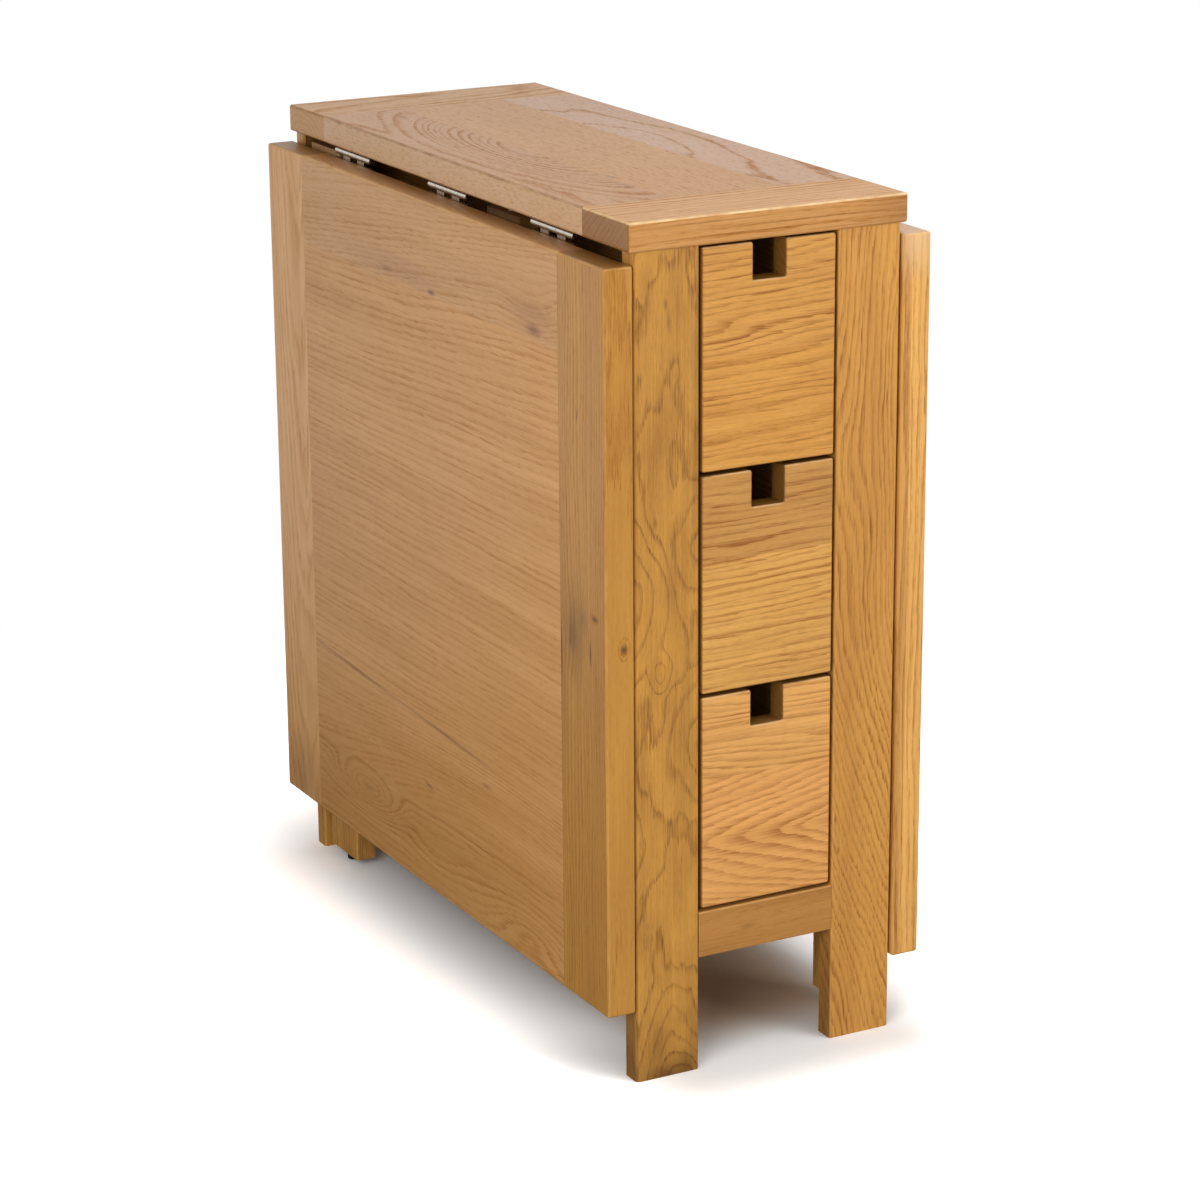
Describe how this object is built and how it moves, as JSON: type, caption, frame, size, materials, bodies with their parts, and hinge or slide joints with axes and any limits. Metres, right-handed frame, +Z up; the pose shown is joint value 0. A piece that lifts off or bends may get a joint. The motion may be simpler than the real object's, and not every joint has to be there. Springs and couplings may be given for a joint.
{
  "type": "gateleg dining table",
  "caption": "Narrow oak gateleg table: hanging leaves lift level with the fixed top over swinging gate legs, and a stack of drawers with notched fronts opens at one end.",
  "frame": {"origin": "on the floor under the middle of the table", "axes": "+Z up, Y along the table with the drawer end at -Y, X across it"},
  "size_m": [0.312, 0.678, 0.75],
  "materials": {
    "oak_top": "satin lacquer",
    "oak_leaf": "satin lacquer",
    "oak_post": "satin lacquer",
    "oak_rail": "satin lacquer",
    "oak_panel": "satin lacquer",
    "oak_gate": "satin lacquer",
    "oak_drawer_front": "satin lacquer",
    "drawer_box": "plain",
    "beech_dowel": "plain",
    "nickel_hinge": "satin nickel",
    "nickel_screw": "satin nickel",
    "pivot_steel": "bright",
    "nylon_washer": "plain",
    "black_glide": "plain"
  },
  "bodies": {
    "base": {"top_panel": "oak_top", "top_end_front": "oak_top", "top_end_rear": "oak_top", "post_front_left": "oak_post", "post_front_right": "oak_post", "post_rear_left": "oak_post", "post_rear_right": "oak_post", "rail_front": "oak_rail", "rail_rear": "oak_rail", "rail_long_left": "oak_rail", "rail_long_right": "oak_rail", "pivot_blocks": "oak_rail", "side_panel_left": "oak_panel", "side_panel_right": "oak_panel", "rear_panel": "oak_panel", "drawer_runners": "oak_panel", "dowels_top": "beech_dowel", "dowels_rails": "beech_dowel", "hinge_plates_top": "nickel_hinge", "hinge_pins": "nickel_hinge", "hinge_screws_top": "nickel_screw", "pivot_pins": "pivot_steel", "pivot_washers": "nylon_washer"},
    "leaf_left": {"leaf_panel_left": "oak_leaf", "leaf_end_front_left": "oak_leaf", "leaf_end_rear_left": "oak_leaf", "hinge_plates_leaf_left": "nickel_hinge", "hinge_screws_leaf_left": "nickel_screw"},
    "gate_left": {"gate_leg_left": "oak_gate", "gate_stile_left": "oak_gate", "gate_rail_low_left": "oak_gate", "gate_rail_high_left": "oak_gate", "gate_glide_left": "black_glide"},
    "leaf_right": {"leaf_panel_right": "oak_leaf", "leaf_end_front_right": "oak_leaf", "leaf_end_rear_right": "oak_leaf", "hinge_plates_leaf_right": "nickel_hinge", "hinge_screws_leaf_right": "nickel_screw"},
    "gate_right": {"gate_leg_right": "oak_gate", "gate_stile_right": "oak_gate", "gate_rail_low_right": "oak_gate", "gate_rail_high_right": "oak_gate", "gate_glide_right": "black_glide"},
    "drawer_bottom": {"drawer_bottom_front": "oak_drawer_front", "drawer_bottom_side_left": "drawer_box", "drawer_bottom_side_right": "drawer_box", "drawer_bottom_back": "drawer_box", "drawer_bottom_bottom": "drawer_box"},
    "drawer_middle": {"drawer_middle_front": "oak_drawer_front", "drawer_middle_side_left": "drawer_box", "drawer_middle_side_right": "drawer_box", "drawer_middle_back": "drawer_box", "drawer_middle_bottom": "drawer_box"},
    "drawer_top": {"drawer_top_front": "oak_drawer_front", "drawer_top_side_left": "drawer_box", "drawer_top_side_right": "drawer_box", "drawer_top_back": "drawer_box", "drawer_top_bottom": "drawer_box"}
  },
  "joints": [
    {"name": "leaf_left_hinge", "type": "hinge", "parent": "base", "child": "leaf_left", "pos_m": [-0.12725, 0, 0.72125], "axis": [0, 1, 0], "range_deg": [0, 90]},
    {"name": "leaf_right_hinge", "type": "hinge", "parent": "base", "child": "leaf_right", "pos_m": [0.12725, 0, 0.72125], "axis": [0, -1, 0], "range_deg": [0, 90]},
    {"name": "gate_left_hinge", "type": "hinge", "parent": "base", "child": "gate_left", "pos_m": [-0.11575, -0.1, 0.145], "axis": [0, 0, 1], "range_deg": [0, 0.35]},
    {"name": "gate_right_hinge", "type": "hinge", "parent": "base", "child": "gate_right", "pos_m": [0.11575, 0.1, 0.145], "axis": [0, 0, 1], "range_deg": [0, 0.35]},
    {"name": "drawer_bottom_slide", "type": "slide", "parent": "base", "child": "drawer_bottom", "axis": [0, -1, 0], "range_m": [0, 0.28]},
    {"name": "drawer_middle_slide", "type": "slide", "parent": "base", "child": "drawer_middle", "axis": [0, -1, 0], "range_m": [0, 0.28]},
    {"name": "drawer_top_slide", "type": "slide", "parent": "base", "child": "drawer_top", "axis": [0, -1, 0], "range_m": [0, 0.28]}
  ]
}
